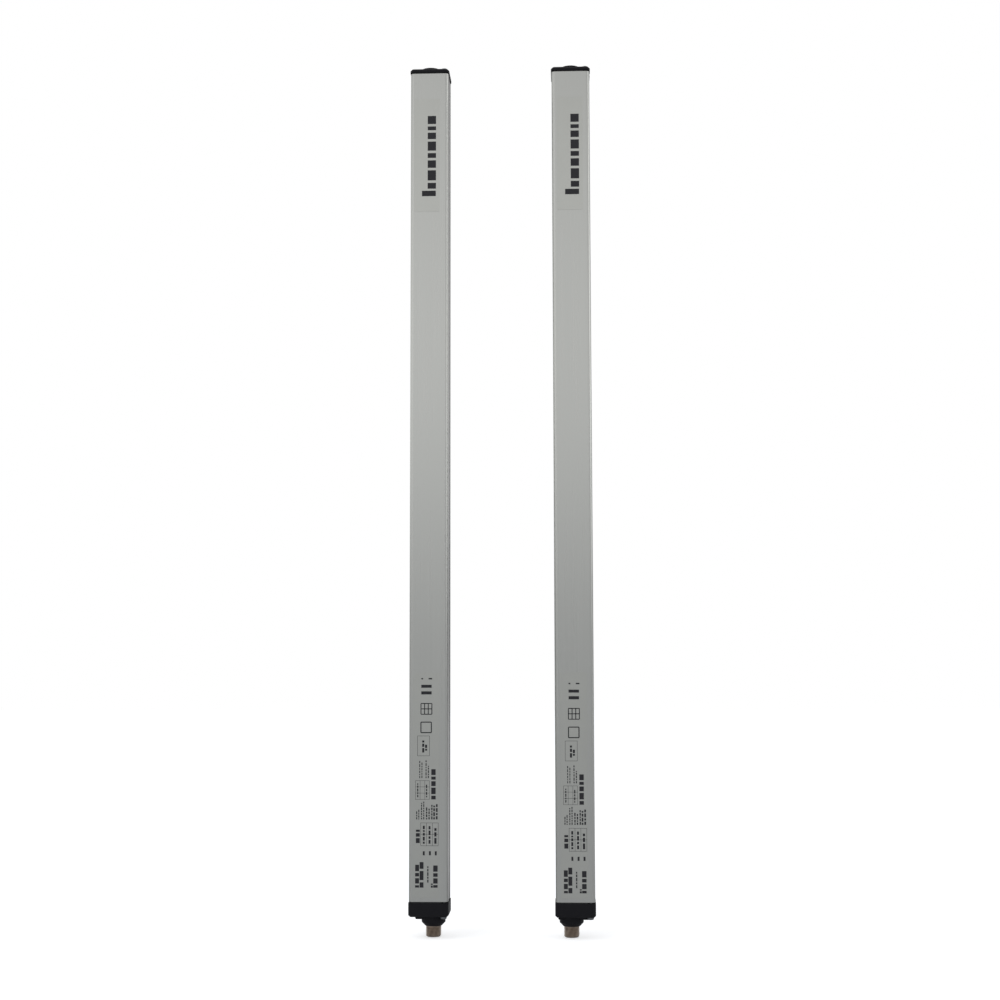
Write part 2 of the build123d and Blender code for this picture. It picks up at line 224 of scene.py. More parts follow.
def surface(rows, close_rows=False, first_pole=None, last_pole=None):
    """Points and faces of a grid that is closed round along each row.

    Every point is joined to its neighbours in its row and in the next row. The last row is joined to the
    first where close_rows is set, and otherwise each end is closed by a fan to its pole.
    """
    count, sides = rows.shape[:2]
    index = np.arange(count * sides).reshape(count, sides)
    this = index if close_rows else index[:-1]
    following = np.roll(index, -1, axis=0) if close_rows else index[1:]
    corners = (this, np.roll(this, -1, axis=1), np.roll(following, -1, axis=1), following)
    faces = np.stack(corners, axis=-1).reshape(-1, 4).tolist()
    points = [rows.reshape(-1, 3)]
    for pole, ring in ((first_pole, index[0]), (last_pole, index[-1])):
        if pole is not None:
            tip = np.full(sides, sum(len(p) for p in points))
            faces += np.stack((ring, np.roll(ring, -1), tip), axis=-1).tolist()
            points.append(np.array([pole], float))
    return np.concatenate(points), faces


def joined(shapes):
    """Points and faces of several shapes as one."""
    points, faces, start = [], [], 0
    for shape_points, shape_faces in shapes:
        points.append(shape_points)
        faces += [[start + corner for corner in face] for face in shape_faces]
        start += len(shape_points)
    return np.concatenate(points), faces


def revolved(radius, height, centre, close_rows=False):
    """Points and faces of a turned shape on an upright axis.

    Radius and height are arrays of rows by sides: the point of row i at side j lies at radius[i, j] from the
    axis, at the angle of side j, and at height[i, j]. Unless the rows are closed, both ends get a pole.
    """
    turn = np.linspace(0, 2 * math.pi, radius.shape[1], endpoint=False)
    rows = np.stack(
        (centre[0] + radius * np.cos(turn), centre[1] + radius * np.sin(turn), height), axis=-1
    )
    if close_rows:
        return surface(rows, close_rows=True)
    first = (centre[0], centre[1], height[0].mean())
    last = (centre[0], centre[1], height[-1].mean())
    return surface(rows, first_pole=first, last_pole=last)


def ridge(turn, height, pitch):
    """Depth of a right-hand thread below its crest, from 0 at the crest to 1 at the root.

    A triangle wave along the axis that goes once round the axis in each pitch. It is stretched to a height of
    1.35, lowered by 0.15 and clipped, which leaves a flat of a ninth of the pitch at the crest and of a
    seventh at the root.
    """
    stretch, lowered = 1.35, 0.15
    phase = np.mod(height / pitch - turn / (2 * math.pi), 1)
    return np.clip(stretch * np.abs(2 * phase - 1) - lowered, 0, 1)


def make_piece(name, shape, material, replaced=()):
    """A new piece with its place in its mesh, its faces outward and its sharp edges kept."""
    mesh = bpy.data.meshes.new(name)
    mesh.from_pydata(shape[0].tolist(), [], shape[1])
    work = bmesh.new()
    work.from_mesh(mesh)
    bmesh.ops.recalc_face_normals(work, faces=work.faces)
    work.to_mesh(mesh)
    work.free()
    mesh.shade_smooth()
    mesh.set_sharp_from_angle(angle=SHARP_EDGE)
    mesh.materials.append(material)
    piece = bpy.data.objects.new(name, mesh)
    bpy.context.scene.collection.objects.link(piece)
    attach(piece, "root")
    if replaced:
        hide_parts(*replaced)
    return piece


def add_node(tree, kind, settings, links=()):
    """Adds a node with its settings, by attribute or input, and with the links to its inputs."""
    node = tree.nodes.new(kind)
    for name, value in settings.items():
        if isinstance(name, int) or name in node.inputs:
            node.inputs[name].default_value = value
        else:
            setattr(node, name, value)
    for name, source in dict(links).items():
        tree.links.new(source, node.inputs[name])
    return node


def new_material(name, base, settings):
    """An opaque material with one shader, its base colour and its settings."""
    material = bpy.data.materials.new(name)
    material.use_nodes = True
    tree = material.node_tree
    tree.nodes.clear()
    shader = add_node(tree, "ShaderNodeBsdfPrincipled", {"Base Color": (*base, 1), **settings})
    add_node(tree, "ShaderNodeOutputMaterial", {}, {"Surface": shader.outputs["BSDF"]})
    return material, tree, shader


def noise(tree, grain, stretch=(1, 1, 1), detail=2.0):
    """A noise whose grains have the given size in metres, drawn out along the axes by stretch."""
    place = add_node(tree, "ShaderNodeTexCoord", {})
    scale = tuple(1 / s for s in stretch)
    mapping = add_node(tree, "ShaderNodeMapping", {"Scale": scale}, {"Vector": place.outputs["Object"]})
    settings = {"Scale": 1 / grain, "Detail": detail}
    links = {"Vector": mapping.outputs["Vector"]}
    return add_node(tree, "ShaderNodeTexNoise", settings, links).outputs["Fac"]


def tint(tree, shader, source, base, spread):
    """Lets the base colour swing by a share of itself with a pattern."""
    darker = (*(c * (1 - spread) for c in base), 1)
    lighter = (*(min(1, c * (1 + spread)) for c in base), 1)
    mix = add_node(tree, "ShaderNodeMix", {"data_type": "RGBA", 6: darker, 7: lighter}, {0: source})
    tree.links.new(mix.outputs[2], shader.inputs["Base Color"])


def vary(tree, shader, source, low, high):
    """Lets the roughness swing between two values with a pattern."""
    settings = {"To Min": low, "To Max": high}
    span = add_node(tree, "ShaderNodeMapRange", settings, {"Value": source})
    tree.links.new(span.outputs["Result"], shader.inputs["Roughness"])


def emboss(tree, shader, source, height, strength):
    """Gives the surface the relief of a pattern, of a height in metres."""
    settings = {"Strength": strength, "Distance": height}
    bump = add_node(tree, "ShaderNodeBump", settings, {"Height": source})
    tree.links.new(bump.outputs["Normal"], shader.inputs["Normal"])


def anodised_aluminium(colours):
    """Extruded, etched and clear anodised: a satin metal with faint lines along the bar from the die."""
    # The tint keeps the metal from going white where it is seen edge on
    settings = {"Metallic": 1.0, "Roughness": 0.3, "Specular Tint": (0.6, 0.6, 0.6, 1)}
    material, tree, shader = new_material("anodised aluminium, extruded", colours.aluminium, settings)
    # Die lines are about 0.2 mm apart, and are drawn at 0.7 mm so that they show
    lines = noise(tree, 0.7 * MM, stretch=(1, 1, 400), detail=3.0)
    tint(tree, shader, lines, colours.aluminium, spread=0.045)
    vary(tree, shader, lines, low=0.24, high=0.34)
    emboss(tree, shader, lines, height=0.012 * MM, strength=0.5)
    return material


def silver_film(colours):
    """Metallised polyester: as grey as the housing but a little warmer, with a soft and even sheen."""
    material, tree, shader = new_material(
        "metallised polyester film, matt", colours.film, {"Metallic": 0.95, "Roughness": 0.3}
    )
    cloud = noise(tree, 9 * MM, detail=3.0)
    tint(tree, shader, cloud, colours.film, spread=0.02)
    # Paper-fine grain of the matt face, about 0.1 mm, drawn at 0.4 mm
    grain = noise(tree, 0.4 * MM)
    vary(tree, shader, grain, low=0.26, high=0.35)
    emboss(tree, shader, grain, height=0.004 * MM, strength=0.3)
    return material


def printing_ink(colours):
    """Screen-printed ink: dense dark grey, with a slightly uneven gloss."""
    material, tree, shader = new_material(
        "printing ink, screen printed", colours.ink, {"Roughness": 0.5, "Specular IOR Level": 0.25}
    )
    mottle = noise(tree, 0.5 * MM)
    tint(tree, shader, mottle, colours.ink, spread=0.2)
    vary(tree, shader, mottle, low=0.42, high=0.58)
    return material


def cap_polyamide(colours):
    """Glass filled polyamide, moulded in a spark eroded tool: near black, with a fine dull grain."""
    settings = {"Roughness": 0.5, "IOR": 1.5, "Specular IOR Level": 0.12}
    material, tree, shader = new_material("black polyamide, moulded", colours.cap, settings)
    # Grain of the eroded tool, about 0.15 mm, drawn at 0.45 mm
    grain = noise(tree, 0.45 * MM, detail=4.0)
    tint(tree, shader, grain, colours.cap, spread=0.25)
    vary(tree, shader, grain, low=0.42, high=0.6)
    emboss(tree, shader, grain, height=0.03 * MM, strength=0.6)
    return material


def window_acrylic(colours):
    """Polished infrared-pass acrylic: almost black, deep red under a gloss, with a trace of handling."""
    material, tree, shader = new_material(
        "infrared-pass acrylic, polished",
        colours.window,
        {"Roughness": 0.26, "IOR": 1.49, "Specular IOR Level": 0.3},
    )
    haze = noise(tree, 14 * MM, stretch=(1, 1, 6), detail=4.0)
    tint(tree, shader, haze, colours.window, spread=0.15)
    vary(tree, shader, haze, low=0.22, high=0.32)
    return material


def nitrile_rubber(colours):
    """Moulded nitrile rubber: black, dull and slightly dusty."""
    material, tree, shader = new_material(
        "nitrile rubber, moulded", colours.rubber, {"Roughness": 0.8, "IOR": 1.52}
    )
    dust = noise(tree, 0.8 * MM, detail=4.0)
    tint(tree, shader, dust, colours.rubber, spread=0.2)
    vary(tree, shader, dust, low=0.72, high=0.88)
    emboss(tree, shader, dust, height=0.02 * MM, strength=0.4)
    return material


def zinc_steel(colours):
    """Zinc plated steel: a cool, rather dark and dull metal with fine cloudy patches."""
    material, tree, shader = new_material(
        "zinc plated steel, dull", colours.steel, {"Metallic": 1.0, "Roughness": 0.34}
    )
    cloud = noise(tree, 0.9 * MM, detail=3.0)
    tint(tree, shader, cloud, colours.steel, spread=0.08)
    vary(tree, shader, cloud, low=0.28, high=0.42)
    return material


def nickel_brass(colours):
    """Turned brass under dull nickel: a warm grey metal with rings from the tool."""
    material, tree, shader = new_material(
        "nickel plated brass, turned", colours.nickel, {"Metallic": 1.0, "Roughness": 0.3}
    )
    # Tool marks of a turned thread, about 0.05 mm apart, drawn at 0.2 mm
    rings = noise(tree, 0.2 * MM, stretch=(40, 40, 1))
    tint(tree, shader, rings, colours.nickel, spread=0.12)
    vary(tree, shader, rings, low=0.24, high=0.38)
    return material


def gold_plating(colours):
    """Hard gold over turned brass: a soft yellow gleam."""
    material, tree, shader = new_material(
        "gold plated brass, turned", colours.gold, {"Metallic": 1.0, "Roughness": 0.2}
    )
    rings = noise(tree, 0.15 * MM, stretch=(40, 40, 1))
    vary(tree, shader, rings, low=0.15, high=0.27)
    tint(tree, shader, rings, colours.gold, spread=0.05)
    return material


def insert_polyamide(colours):
    """Moulded polyamide of the contact carrier: black, finer and glossier than the cap."""
    material, tree, shader = new_material(
        "black polyamide, fine moulded", colours.insert, {"Roughness": 0.4, "IOR": 1.5}
    )
    grain = noise(tree, 0.3 * MM)
    tint(tree, shader, grain, colours.insert, spread=0.2)
    vary(tree, shader, grain, low=0.34, high=0.46)
    return material


def solder_mask(colours):
    """Glass epoxy under green solder mask: glossy, with lighter lines where traces run along the board."""
    material, tree, shader = new_material(
        "glass epoxy board, solder mask", colours.solder_mask, {"Roughness": 0.3, "IOR": 1.5}
    )
    place = add_node(tree, "ShaderNodeTexCoord", {})
    # A wave of scale 1 repeats after 2 pi / 20
    trace_pitch = 1.2 * MM
    bands = {"wave_type": "BANDS", "bands_direction": "Y"}
    settings = {**bands, "Scale": 2 * math.pi / 20 / trace_pitch, "Distortion": 0.6}
    traces = add_node(tree, "ShaderNodeTexWave", settings, {"Vector": place.outputs["Object"]})
    # The crests of the wave are the traces
    crest = {"From Min": 0.7, "From Max": 0.8}
    span = add_node(tree, "ShaderNodeMapRange", crest, {"Value": traces.outputs["Fac"]})
    line = span.outputs["Result"]
    settings = {"data_type": "RGBA", 6: (*colours.solder_mask, 1), 7: (*colours.copper_trace, 1)}
    mix = add_node(tree, "ShaderNodeMix", settings, {0: line})
    tree.links.new(mix.outputs[2], shader.inputs["Base Color"])
    emboss(tree, shader, line, height=0.03 * MM, strength=0.5)
    return material


def carrier_polycarbonate(colours):
    """Carbon filled polycarbonate with a dull eroded face that swallows stray light."""
    material, tree, shader = new_material(
        "black polycarbonate, dull moulded", colours.carrier, {"Roughness": 0.75, "IOR": 1.58}
    )
    grain = noise(tree, 0.5 * MM, detail=4.0)
    tint(tree, shader, grain, colours.carrier, spread=0.25)
    vary(tree, shader, grain, low=0.68, high=0.84)
    emboss(tree, shader, grain, height=0.03 * MM, strength=0.5)
    return material


def clear_acrylic(colours):
    """Clear moulded acrylic: glass-like, with faint flow streaks."""
    material, tree, shader = new_material(
        "clear acrylic, polished moulded",
        colours.lens,
        {"Roughness": 0.04, "IOR": 1.49, "Transmission Weight": 0.9},
    )
    flow = noise(tree, 3 * MM, stretch=(1, 1, 8))
    vary(tree, shader, flow, low=0.03, high=0.08)
    return material


def chip_epoxy(colours):
    """Transfer moulded epoxy: black with a fine sparkle of filler."""
    material, tree, shader = new_material(
        "black epoxy, transfer moulded", colours.chip, {"Roughness": 0.6, "IOR": 1.55}
    )
    filler = noise(tree, 0.25 * MM, detail=3.0)
    tint(tree, shader, filler, colours.chip, spread=0.3)
    vary(tree, shader, filler, low=0.5, high=0.7)
    return material


def lamp_epoxy(colours):
    """Milky cast epoxy over a lamp that is off: pale and softly glossy."""
    material, tree, shader = new_material(
        "milky epoxy, cast", colours.lamp, {"Roughness": 0.3, "IOR": 1.52, "Subsurface Weight": 0.1}
    )
    cloud = noise(tree, 0.6 * MM)
    tint(tree, shader, cloud, colours.lamp, spread=0.06)
    vary(tree, shader, cloud, low=0.25, high=0.38)
    return material


def diode_epoxy(colours):
    """Dark clear cast epoxy that passes infrared: glossy, with a violet depth."""
    material, tree, shader = new_material(
        "dark clear epoxy, cast", colours.diode, {"Roughness": 0.15, "IOR": 1.52, "Coat Weight": 0.2}
    )
    cloud = noise(tree, 0.7 * MM)
    tint(tree, shader, cloud, colours.diode, spread=0.15)
    vary(tree, shader, cloud, low=0.1, high=0.22)
    return material


FINISHES = {
    "anodised_aluminium": anodised_aluminium,
    "window_acrylic": window_acrylic,
    "seal_rubber": nitrile_rubber,
    "cap_plastic": cap_polyamide,
    "screw_steel": zinc_steel,
    "connector_nickel": nickel_brass,
    "insert_plastic": insert_polyamide,
    "contact_gold": gold_plating,
    "board_green": solder_mask,
    "carrier_plastic": carrier_polycarbonate,
    "lens_acrylic": clear_acrylic,
    "chip_plastic": chip_epoxy,
    "lamp_resin": lamp_epoxy,
    "diode_resin": diode_epoxy,
    "silver_film": silver_film,
    "printing_ink": printing_ink,
}
# Materials that are made already, by the name of their finish
finished = {}


def finish_for(name):
    """The finish of a slot, a film or its print, made once and then shared."""
    if name not in finished:
        finished[name] = FINISHES[name](bpy.context.scene.curtain_colours)
    return finished[name]


def film_places(bar):
    """Lowest corner and size, along x and z, of the two films of a bar, and its broad face's place in y."""
    sizes = bpy.context.scene.curtain_films
    low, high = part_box(f"{bar}_profile")
    middle = (low.x + high.x) / 2 + (sizes.emitter_shift if bar == "emitter" else sizes.receiver_shift)
    lower = (middle - sizes.lower_width / 2, low.z + sizes.lower_start, sizes.lower_width, sizes.lower_height)
    upper_foot = high.z - sizes.upper_start - sizes.upper_height
    upper = (middle - sizes.upper_width / 2, upper_foot, sizes.upper_width, sizes.upper_height)
    return {"lower": lower, "upper": upper}, low.y


def rounded_rectangle(place, corner, inset, depth):
    """A row of points round a rectangle with round corners, drawn in by inset, at a depth in y.

    Each corner is a quarter circle of eight steps about its own centre.
    """
    x, z, width, height = place
    turn = np.linspace(0, math.pi / 2, 9)
    starts = np.arange(4)[:, None] * math.pi / 2 + turn
    centre_x = np.array([x + width - corner, x + corner, x + corner, x + width - corner])[:, None]
    centre_z = np.array([z + height - corner] * 2 + [z + corner] * 2)[:, None]
    reach = corner - inset
    points_x = (centre_x + reach * np.cos(starts)).ravel()
    points_z = (centre_z + reach * np.sin(starts)).ravel()
    return np.stack((points_x, np.full_like(points_x, depth), points_z), axis=-1)


def film_shape(place, face, sizes):
    """A thin plate with round corners and a chamfered front edge, as a stack of outlines."""
    front = face - sizes.thickness
    chamfer = sizes.thickness / 3
    rows = np.stack(
        (
            rounded_rectangle(place, sizes.corner, 0, face),
            rounded_rectangle(place, sizes.corner, 0, front + chamfer),
            rounded_rectangle(place, sizes.corner, chamfer, front),
        )
    )
    middle = (place[0] + place[2] / 2, place[1] + place[3] / 2)
    return surface(rows, first_pole=(middle[0], face, middle[1]), last_pole=(middle[0], front, middle[1]))


def ink_shape(marks, place, front, ink):
    """Flat blocks of ink, one for each mark.

    A mark is its left, lower, right and upper edge in millimetres from the film's lower left corner.
    """
    edges = np.array(marks, float) * MM
    left, low, right, high = edges.T
    x = place[0] + np.stack((left, right, right, left), axis=-1)
    z = place[1] + np.stack((low, low, high, high), axis=-1)
    back = np.stack((x, np.full_like(x, front), z), axis=-1)
    fore = np.stack((x, np.full_like(x, front - ink), z), axis=-1)
    points = np.concatenate((back, fore), axis=1).reshape(-1, 3)
    block = np.array([(3, 2, 1, 0), (4, 5, 6, 7), (0, 1, 5, 4), (1, 2, 6, 5), (2, 3, 7, 6), (3, 0, 4, 7)])
    starts = 8 * np.arange(len(edges))[:, None, None]
    return points, (starts + block).reshape(-1, 4).tolist()


def written_line(left, thickness, low, high, word, seed):
    """Blocks that stand for a line of small print running up the film, with uneven gaps between them.

    Block lengths lie between half and one and a half times the word, and step on from the seed by the golden
    ratio. As many blocks are laid out as would fit if all were short, and those past the end are left out.
    """
    shortest = 0.5
    count = int((high - low) / (word * (shortest + WORD_GAP))) + 1
    swing = np.mod(seed + GOLDEN * np.arange(count), 1)
    steps = word * (shortest + swing)
    starts = low + np.concatenate(([0], np.cumsum(steps + WORD_GAP * word)[:-1]))
    keep = starts + steps < high
    return [(left, s, left + thickness, s + t) for s, t in zip(starts[keep], steps[keep])]


def ruled_table(left, low, right, high, columns, rows, line):
    """The ruled lines of a table."""
    across = np.linspace(left, right, columns + 1)
    along = np.linspace(low, high, rows + 1)
    upright = [(x - line / 2, low, x + line / 2, high) for x in across]
    level_lines = [(left, z - line / 2, right, z + line / 2) for z in along]
    return upright + level_lines


def lower_marks():
    """Generic print of the lower film, in millimetres from its lower left corner."""
    # Left edge, thickness, start, end and usual word length of each line of print
    lines = [
        (2.2, 3.0, 7.8, 28.1, 3.6),
        (5.6, 3.0, 7.8, 28.1, 4.6),
        (11.4, 1.0, 11.6, 26.2, 1.8),
        (16.0, 3.4, 7.8, 28.1, 3.2),
        (14.2, 1.5, 7.8, 12.6, 1.6),
        (2.7, 3.0, 41.2, 54.8, 2.8),
        (8.0, 1.5, 40.7, 55.3, 2.2),
        (12.4, 1.5, 40.7, 55.3, 2.6),
        (16.8, 1.7, 40.7, 55.3, 3.0),
        (14.4, 3.4, 74.1, 97.8, 3.4),
        (3.6, 0.9, 75.7, 87.3, 1.6),
        (10.4, 0.9, 75.7, 87.3, 1.9),
        (5.2, 0.7, 90.2, 104.8, 1.7),
        (6.9, 0.7, 90.2, 102.8, 1.5),
        (10.0, 0.8, 90.2, 105.2, 1.9),
        (11.8, 0.8, 90.2, 101.8, 1.6),
        (7.4, 1.6, 109.6, 119.3, 2.4),
        (9.6, 1.6, 111.0, 117.4, 1.8),
    ]
    lines += [(x, 0.8, 59.0, end, 1.5) for x, end in ((2.9, 66.5), (4.5, 67.5), (6.6, 72.5), (8.3, 73.0))]
    lines += [(x, 1.0, 59.0, end, 1.7) for x, end in ((10.4, 70.5), (12.3, 69.5), (14.4, 71.0))]
    lines += [(x, 1.3, 59.0, 71.3, 2.2) for x in (16.0, 18.0)]
    # Each line starts elsewhere in the sequence of block lengths
    seeds = 0.37 * np.arange(len(lines))
    marks = [mark for seed, line in zip(seeds, lines) for mark in written_line(*line, seed)]
    # Lower left corner, upper right corner, columns, rows and line thickness of each table or frame
    tables = [
        (6.4, 39.2, 19.8, 56.4, 3, 2, 0.25),
        (2.3, 74.1, 13.0, 88.3, 3, 3, 0.22),
        (3.8, 107.1, 13.0, 122.2, 1, 1, 0.25),
        (6.4, 124.7, 14.4, 132.7, 1, 1, 0.8),
        (6.4, 138.7, 14.8, 146.9, 3, 2, 0.7),
    ]
    marks += [mark for table in tables for mark in ruled_table(*table)]
    # Left, lower, right and upper edge of the plain blocks
    marks += [(x, 32.0, x + 1.5, 35.1) for x in (8.0, 12.7, 17.2)]
    marks += [(6.6, 153.8, 14.6, 156.2), (6.6, 158.9, 14.6, 161.2)]
    marks += [(6.6, 165.3, 8.0, 166.4), (12.2, 165.3, 15.0, 166.4)]
    return marks


def upper_marks():
    """A wide block and a plain row of others on the upper film, in millimetres from its lower left corner."""
    return [(6.2, 12.4, 17.2, 16.8)] + written_line(10.7, 6.6, 18.4, 82.0, 5.6, 0.35)


def make_films():
    """The two films of each bar, with their print."""
    sizes = bpy.context.scene.curtain_films
    for bar in BARS:
        places, face = film_places(bar)
        for part, marks in (("lower", lower_marks()), ("upper", upper_marks())):
            shape = film_shape(places[part], face, sizes)
            make_piece(f"{bar}_{part}_film", shape, finish_for("silver_film"))
            left, foot = places[part][:2]
            if (bar, part) == ("receiver", "lower"):
                foot -= sizes.receiver_drop
            print_shape = ink_shape(marks, (left, foot), face - sizes.thickness, sizes.ink)
            make_piece(f"{bar}_{part}_print", print_shape, finish_for("printing_ink"))


def shell_shape(bar, sizes):
    """The connector's shell: a closed outline turned about its axis, threaded on its outside.

    The outline goes down the threaded outside, round the rim, up the bore and back down the barrel.
    The radius of each threaded row is the crest less the thread's depth, which fades out over the last pitch
    up to the cap.
    """
    extent, centre = half_extent(f"{bar}_connector_shell")
    tip, back = centre[2] - extent[2], centre[2] + extent[2]
    neck_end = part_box(f"{bar}_bottom_cap")[0].z
    crest = extent[0]
    bore = half_extent(f"{bar}_connector_insert")[0][0] + sizes.shell_gap
    sides, steps = 72, 68
    turn = np.linspace(0, 2 * math.pi, sides, endpoint=False)
    down = np.linspace(neck_end, tip + sizes.thread_chamfer, steps)[:, None]
    fade = np.clip((neck_end - down) / sizes.thread_pitch, 0, 1)
    threaded = crest - sizes.thread_depth * fade * ridge(turn[None, :], down, sizes.thread_pitch)
    rim = crest - sizes.thread_chamfer
    flat = 0.15 * MM
    plain = [
        (rim, tip),
        (bore + flat, tip),
        (bore, tip + flat),
        (bore, back),
        (sizes.barrel_radius, back),
        (sizes.barrel_radius, neck_end),
    ]
    plain_radius = np.repeat(np.array([[radius] for radius, _ in plain]), sides, axis=1)
    plain_height = np.repeat(np.array([[height] for _, height in plain]), sides, axis=1)
    radius = np.concatenate((threaded, plain_radius))
    height = np.concatenate((np.repeat(down, sides, axis=1), plain_height))
    return revolved(radius, height, centre, close_rows=True)


def pins_shape(bar, sizes):
    """Four round pins on a circle: straight sides, and a dome of a quarter circle at the free end."""
    extent, centre = half_extent(f"{bar}_connector_pins")
    circle = extent[0] - sizes.pin_radius
    tip, back = centre[2] - extent[2], centre[2] + extent[2]
    sides = 20
    # The first ring lies just off the pole
    first, steps = 0.12, 7
    swing = np.linspace(first, math.pi / 2, steps)
    radius = np.append(sizes.pin_radius * np.sin(swing), sizes.pin_radius)
    height = np.append(tip + sizes.pin_radius * (1 - np.cos(swing)), back)
    rows = (np.repeat(radius[:, None], sides, axis=1), np.repeat(height[:, None], sides, axis=1))
    places = [(math.cos(a) * circle, math.sin(a) * circle) for a in np.arange(4) * math.pi / 2]
    return joined([revolved(*rows, (centre[0] + x, centre[1] + y)) for x, y in places])


def screw_shape(head_top, head_height, tip, sizes):
    """A pan head screw on an upright axis, with its head up.

    The head is a low dome, which falls by 0.3 of its height with the fourth power of the distance. A cross is
    sunk into it: deepest at the middle and along the two arms, and shallower with the square of the distance.
    The shank is threaded and comes to a short point.
    """
    sides, head_steps, shank_steps = 48, 16, 60
    turn = np.linspace(0, 2 * math.pi, sides, endpoint=False)[None, :]
    # The head's rings go from just off the pole to just short of its edge
    across = np.linspace(0.06, 1.0, head_steps)[:, None] * sizes.head_radius * 0.96
    dome = head_top - 0.3 * head_height * (across / sizes.head_radius) ** 4
    arm = np.minimum(np.abs(across * np.cos(turn)), np.abs(across * np.sin(turn)))
    fall = np.clip(1 - (across / sizes.recess_reach) ** 2, 0, 1)
    depth = min(sizes.recess_depth, 0.7 * head_height)
    sunk = depth * fall * np.exp(-((arm / sizes.recess_arm) ** 4))
    seat = head_top - head_height
    edge = [
        (sizes.head_radius, head_top - 0.5 * head_height),
        (sizes.head_radius, seat),
        (sizes.shank_radius, seat),
    ]
    under_head = 0.1 * MM
    shank = np.linspace(seat - under_head, tip + sizes.shank_radius, shank_steps)[:, None]
    threaded = sizes.shank_radius - sizes.shank_depth * ridge(turn, shank, sizes.shank_pitch)
    point = [(0.5 * sizes.shank_radius, tip)]
    radius = [np.repeat(across, sides, axis=1)] + [np.full((1, sides), r) for r, _ in edge]
    radius += [threaded] + [np.full((1, sides), r) for r, _ in point]
    height = [dome - sunk] + [np.full((1, sides), z) for _, z in edge]
    height += [np.repeat(shank, sides, axis=1)] + [np.full((1, sides), z) for _, z in point]
    return revolved(np.concatenate(radius), np.concatenate(height), (0, 0))


def screws_shape(bar, sizes):
    """Two short screws in the upper cap, and two long ones that are turned over in the lower cap."""
    extent, centre = half_extent(f"{bar}_cap_screws")
    housing_low, housing_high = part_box(f"{bar}_profile")
    reach = extent[:2] - sizes.head_radius
    seat = centre[2] + extent[2] - sizes.head_height
    top = seat + sizes.upper_head
    upper = screw_shape(top, sizes.upper_head, housing_high.z - sizes.screw_grip, sizes)
    bottom = extent[2] - centre[2]
    lower = screw_shape(bottom, sizes.head_height, -housing_low.z - sizes.screw_grip, sizes)
    turned = (lower[0] * (1, -1, -1), lower[1])
    spots = [(centre[0] + reach[0], centre[1] - reach[1]), (centre[0] - reach[0], centre[1] + reach[1])]
    return joined([(shape[0] + (x, y, 0), shape[1]) for shape in (upper, turned) for x, y in spots])


def make_stage(studio):
    """A floor of white paper just under the connectors, which keeps the pair's shadow."""
    half = studio.floor_size / 2
    height = cad_box[0][2] - studio.floor_gap
    corners = [(-half, -half, height), (half, -half, height), (half, half, height), (-half, half, height)]
    mesh = bpy.data.meshes.new("floor")
    mesh.from_pydata(corners, [], [(0, 1, 2, 3)])
    floor = bpy.data.objects.new("floor", mesh)
    bpy.context.scene.collection.objects.link(floor)
    material = bpy.data.materials.new("white paper, matt")
    material.use_nodes = True
    tree = material.node_tree
    tree.nodes.clear()
    paper = add_node(tree, "ShaderNodeBsdfDiffuse", {"Color": (*studio.paper, 1)})
    place = add_node(tree, "ShaderNodeTexCoord", {})
    axes = add_node(tree, "ShaderNodeSeparateXYZ", {}, {"Vector": place.outputs["Object"]})
    seen = background_rays(tree, axes.outputs["Y"], FLOOR_TO_BACKGROUND, studio.mirrored_share)
    lift = add_node(tree, "ShaderNodeMath", {"operation": "MULTIPLY", 1: studio.paper_glow}, {0: seen})
    glow = add_node(tree, "ShaderNodeEmission", {"Color": (1, 1, 1, 1)}, {"Strength": lift.outputs[0]})
    both = add_node(tree, "ShaderNodeAddShader", {}, {0: paper.outputs[0], 1: glow.outputs[0]})
    add_node(tree, "ShaderNodeOutputMaterial", {}, {"Surface": both.outputs[0]})
    mesh.materials.append(material)


def ramp(tree, source, limits, values=(0.0, 1.0)):
    """A smooth change from the first value to the second, while the source goes from limit to limit."""
    settings = {"interpolation_type": "SMOOTHSTEP", "From Min": limits[0], "From Max": limits[1]}
    settings |= {"To Min": values[0], "To Max": values[1]}
    return add_node(tree, "ShaderNodeMapRange", settings, {"Value": source}).outputs["Result"]


def combined(tree, operation, first, second):
    """Two outputs joined by a named operation."""
    return add_node(tree, "ShaderNodeMath", {"operation": operation}, {0: first, 1: second}).outputs[0]


def background_rays(tree, depth, limits, share):
    """1 for the rays that show the background, seen or looked through to, and a share for mirrored rays.

    The share grows from 0 at the lower limit of the depth to its full size at the upper limit, because the
    studio lies in front of the background.
    """
    path = add_node(tree, "ShaderNodeLightPath", {})
    behind = ramp(tree, depth, limits, (0.0, share))
    mirrored = combined(tree, "MULTIPLY", path.outputs["Is Glossy Ray"], behind)
    seen = combined(tree, "MAXIMUM", path.outputs["Is Camera Ray"], path.outputs["Is Transmission Ray"])
    return combined(tree, "MAXIMUM", seen, mirrored)


